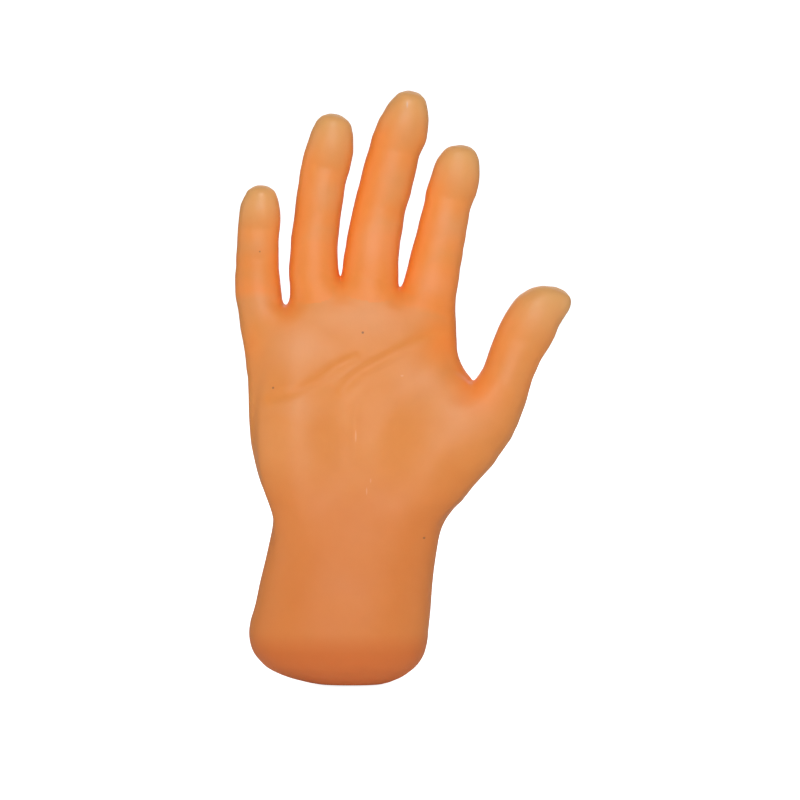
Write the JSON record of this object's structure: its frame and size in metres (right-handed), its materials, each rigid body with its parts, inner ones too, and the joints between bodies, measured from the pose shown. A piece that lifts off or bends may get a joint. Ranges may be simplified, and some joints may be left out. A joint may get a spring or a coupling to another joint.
{
  "type": "prosthetic hand",
  "caption": "Passive prosthetic right hand: soft skin-toned glove over an inner hand with friction-hinged fingers, a folding thumb and a turning threaded wrist.",
  "frame": {"origin": "centre of the wrist hub's threaded mouth, at the bottom of the hand", "axes": "+Z from the wrist towards the fingers, palm faces -Y, thumb side is +X"},
  "size_m": [0.1449, 0.0486, 0.2551],
  "materials": {
    "glove_skin": "semi-matte translucent skin-toned silicone, paler at the fingertips, fine pores",
    "hub_aluminium": "turned, satin anodised",
    "frame_aluminium": "milled, satin",
    "bracket_steel": "brushed stainless steel",
    "link_nylon": "machined nylon, matte",
    "washer_plastic": "filled acetal, matte",
    "foam_pad": "cast polyurethane foam, open cells",
    "pin_steel": "ground stainless steel"
  },
  "bodies": {
    "wrist_hub": {"wrist_hub": "hub_aluminium", "retaining_ring": "pin_steel"},
    "palm": {"wrist_plate": "frame_aluminium", "friction_washer": "washer_plastic", "thrust_washer": "washer_plastic", "palm_frame": "frame_aluminium", "frame_screws": "pin_steel", "knuckle_bracket_little": "bracket_steel", "knuckle_bracket_ring": "bracket_steel", "knuckle_bracket_middle": "bracket_steel", "knuckle_bracket_index": "bracket_steel", "knuckle_screws": "pin_steel", "knuckle_pins": "pin_steel", "friction_discs": "washer_plastic", "thumb_bracket": "bracket_steel", "thumb_bracket_screws": "pin_steel", "thumb_pivot_pin": "pin_steel", "thumb_friction_discs": "washer_plastic", "palm_pad": "foam_pad", "back_pad": "foam_pad", "glove_palm": "glove_skin"},
    "thumb": {"thumb_arm": "bracket_steel", "thumb_pin": "pin_steel", "glove_thenar": "glove_skin"},
    "thumb_tip": {"thumb_tip_link": "link_nylon", "glove_tip_thumb": "glove_skin"},
    "index_proximal": {"proximal_link_index": "link_nylon", "middle_pin_index": "pin_steel", "glove_proximal_index": "glove_skin"},
    "index_middle": {"middle_link_index": "link_nylon", "distal_pin_index": "pin_steel", "glove_middle_index": "glove_skin"},
    "index_distal": {"distal_link_index": "link_nylon", "glove_tip_index": "glove_skin"},
    "middle_proximal": {"proximal_link_middle": "link_nylon", "middle_pin_middle": "pin_steel", "glove_proximal_middle": "glove_skin"},
    "middle_middle": {"middle_link_middle": "link_nylon", "distal_pin_middle": "pin_steel", "glove_middle_middle": "glove_skin"},
    "middle_distal": {"distal_link_middle": "link_nylon", "glove_tip_middle": "glove_skin"},
    "ring_proximal": {"proximal_link_ring": "link_nylon", "middle_pin_ring": "pin_steel", "glove_proximal_ring": "glove_skin"},
    "ring_middle": {"middle_link_ring": "link_nylon", "distal_pin_ring": "pin_steel", "glove_middle_ring": "glove_skin"},
    "ring_distal": {"distal_link_ring": "link_nylon", "glove_tip_ring": "glove_skin"},
    "little_proximal": {"proximal_link_little": "link_nylon", "middle_pin_little": "pin_steel", "glove_proximal_little": "glove_skin"},
    "little_middle": {"middle_link_little": "link_nylon", "distal_pin_little": "pin_steel", "glove_middle_little": "glove_skin"},
    "little_distal": {"distal_link_little": "link_nylon", "glove_tip_little": "glove_skin"}
  },
  "joints": [
    {"name": "wrist_rotation", "type": "hinge", "parent": "wrist_hub", "child": "palm", "pos_m": [0, 0, 0], "axis": [0, 0, 1], "continuous": true},
    {"name": "thumb_opposition", "type": "hinge", "parent": "palm", "child": "thumb", "pos_m": [0.0564, -0.003, 0.13897], "axis": [-0.1376, 0, -0.9905], "range_deg": [-10, 45]},
    {"name": "thumb_tip_hinge", "type": "hinge", "parent": "thumb", "child": "thumb_tip", "pos_m": [0.07655, -0.00558, 0.14693], "axis": [0.915, 0, -0.4034], "range_deg": [-10, 50]},
    {"name": "index_knuckle", "type": "hinge", "parent": "palm", "child": "index_proximal", "pos_m": [0.03789, 0.001, 0.17403], "axis": [0.9751, 0, -0.2219], "range_deg": [-10, 60]},
    {"name": "index_middle_hinge", "type": "hinge", "parent": "index_proximal", "child": "index_middle", "pos_m": [0.04173, -0.00018, 0.1909], "axis": [0.9751, 0, -0.2219], "range_deg": [0, 65]},
    {"name": "index_tip_hinge", "type": "hinge", "parent": "index_middle", "child": "index_distal", "pos_m": [0.04572, -0.00271, 0.20845], "axis": [0.9751, 0, -0.2219], "range_deg": [0, 45]},
    {"name": "middle_knuckle", "type": "hinge", "parent": "palm", "child": "middle_proximal", "pos_m": [0.01061, 0.001, 0.18004], "axis": [0.9741, 0, -0.226], "range_deg": [-10, 60]},
    {"name": "middle_middle_hinge", "type": "hinge", "parent": "middle_proximal", "child": "middle_middle", "pos_m": [0.01626, -0.00074, 0.20439], "axis": [0.9741, 0, -0.226], "range_deg": [0, 65]},
    {"name": "middle_tip_hinge", "type": "hinge", "parent": "middle_middle", "child": "middle_distal", "pos_m": [0.0218, -0.00418, 0.22826], "axis": [0.9741, 0, -0.226], "range_deg": [0, 45]},
    {"name": "ring_knuckle", "type": "hinge", "parent": "palm", "child": "ring_proximal", "pos_m": [-0.01356, 0.001, 0.18181], "axis": [0.9898, 0, -0.1428], "range_deg": [-10, 60]},
    {"name": "ring_middle_hinge", "type": "hinge", "parent": "ring_proximal", "child": "ring_middle", "pos_m": [-0.01075, -0.00044, 0.2013], "axis": [0.9898, 0, -0.1428], "range_deg": [0, 65]},
    {"name": "ring_tip_hinge", "type": "hinge", "parent": "ring_middle", "child": "ring_distal", "pos_m": [-0.00792, -0.00339, 0.2209], "axis": [0.9898, 0, -0.1428], "range_deg": [0, 45]},
    {"name": "little_knuckle", "type": "hinge", "parent": "palm", "child": "little_proximal", "pos_m": [-0.0371, 0.001, 0.16863], "axis": [0.9996, 0, -0.0274], "range_deg": [-10, 55]},
    {"name": "little_middle_hinge", "type": "hinge", "parent": "little_proximal", "child": "little_middle", "pos_m": [-0.03673, -0.00005, 0.18212], "axis": [0.9996, 0, -0.0274], "range_deg": [0, 60]},
    {"name": "little_tip_hinge", "type": "hinge", "parent": "little_middle", "child": "little_distal", "pos_m": [-0.03636, -0.0022, 0.19562], "axis": [0.9996, 0, -0.0274], "range_deg": [0, 40]}
  ]
}
